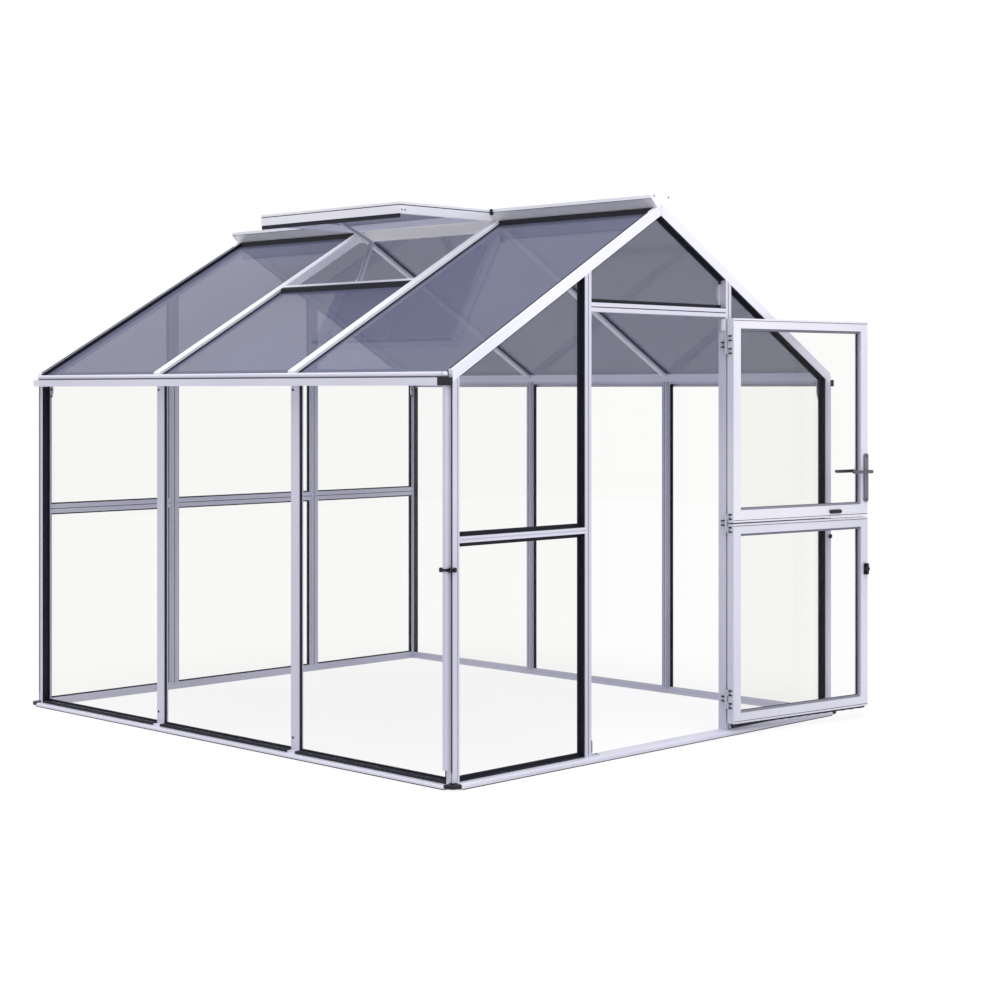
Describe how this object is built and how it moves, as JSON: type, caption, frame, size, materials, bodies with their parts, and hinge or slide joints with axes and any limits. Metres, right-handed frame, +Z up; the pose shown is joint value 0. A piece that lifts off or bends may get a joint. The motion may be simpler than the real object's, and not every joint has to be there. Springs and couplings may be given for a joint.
{
  "type": "polycarbonate greenhouse",
  "caption": "Apex greenhouse with an aluminium frame, clear walls, a tinted twin-wall roof, a propped roof vent and a stable door that swings.",
  "frame": {"origin": "middle of the front sill's underside, at the front faces of the door posts", "axes": "+X to the right seen from the door's side, +Y into the house, +Z up"},
  "size_m": [2.4917, 3.032, 2.3241],
  "materials": {
    "anodised_aluminium": "silver anodised extrusion, satin",
    "black_nylon": "moulded nylon",
    "pale_plastic": "moulded plastic",
    "clear_polycarbonate": "clear sheet, glossy",
    "gasket": "black glazing gasket",
    "twin_wall": "twin-wall sheet with a blue-grey tint",
    "bare_aluminium": "brushed aluminium fittings"
  },
  "bodies": {
    "house": {"front_sill": "anodised_aluminium", "rear_sill": "anodised_aluminium", "left_sill": "anodised_aluminium", "right_sill": "anodised_aluminium", "base_corner_plugs": "black_nylon", "corner_posts": "anodised_aluminium", "left_wall_posts": "anodised_aluminium", "right_wall_posts": "anodised_aluminium", "door_posts": "anodised_aluminium", "door_head": "anodised_aluminium", "front_mid_rails": "anodised_aluminium", "rear_gable_posts": "anodised_aluminium", "rear_mid_rails": "anodised_aluminium", "left_gutter": "anodised_aluminium", "right_gutter": "anodised_aluminium", "gutter_outlets": "black_nylon", "gutter_end_caps": "pale_plastic", "downpipes": "anodised_aluminium", "downpipe_clips": "black_nylon", "left_rafters": "anodised_aluminium", "right_rafters": "anodised_aluminium", "left_roof_bars": "anodised_aluminium", "right_roof_bars": "anodised_aluminium", "ridge_beam": "anodised_aluminium", "ridge_cap": "anodised_aluminium", "left_wall_panes": "clear_polycarbonate", "right_wall_panes": "clear_polycarbonate", "front_panes": "clear_polycarbonate", "rear_panes": "clear_polycarbonate", "wall_gaskets": "gasket", "gable_gaskets": "gasket", "roof_gaskets": "gasket", "post_brackets": "anodised_aluminium", "left_roof_panels": "twin_wall", "right_roof_panels": "twin_wall", "vent_sill_bar": "anodised_aluminium", "vent_sash": "anodised_aluminium", "vent_panel": "twin_wall", "vent_stay": "bare_aluminium", "post_hinges": "bare_aluminium"},
    "upper_door": {"upper_door_frame": "anodised_aluminium", "upper_door_pane": "clear_polycarbonate", "upper_door_gasket": "gasket", "upper_door_hinges": "bare_aluminium", "handle_plates": "bare_aluminium", "door_bolt": "black_nylon"},
    "lower_door": {"lower_door_frame": "anodised_aluminium", "lower_door_pane": "clear_polycarbonate", "lower_door_gasket": "gasket", "lower_door_hinges": "bare_aluminium", "door_catch": "black_nylon"},
    "door_lever": {"lever_handle": "bare_aluminium"}
  },
  "joints": [
    {"name": "upper_door_hinge", "type": "hinge", "parent": "house", "child": "upper_door", "pos_m": [0.426, -0.004, 1.36], "axis": [0, 0, 1], "range_deg": [-172, 3]},
    {"name": "lower_door_hinge", "type": "hinge", "parent": "house", "child": "lower_door", "pos_m": [0.426, -0.004, 0.48], "axis": [0, 0, 1], "range_deg": [-172, 3]},
    {"name": "lever_turn", "type": "hinge", "parent": "upper_door", "child": "door_lever", "pos_m": [1.24621, -0.1425, 1.115], "axis": [0.1392, 0.9903, 0], "range_deg": [-40, 0]}
  ]
}
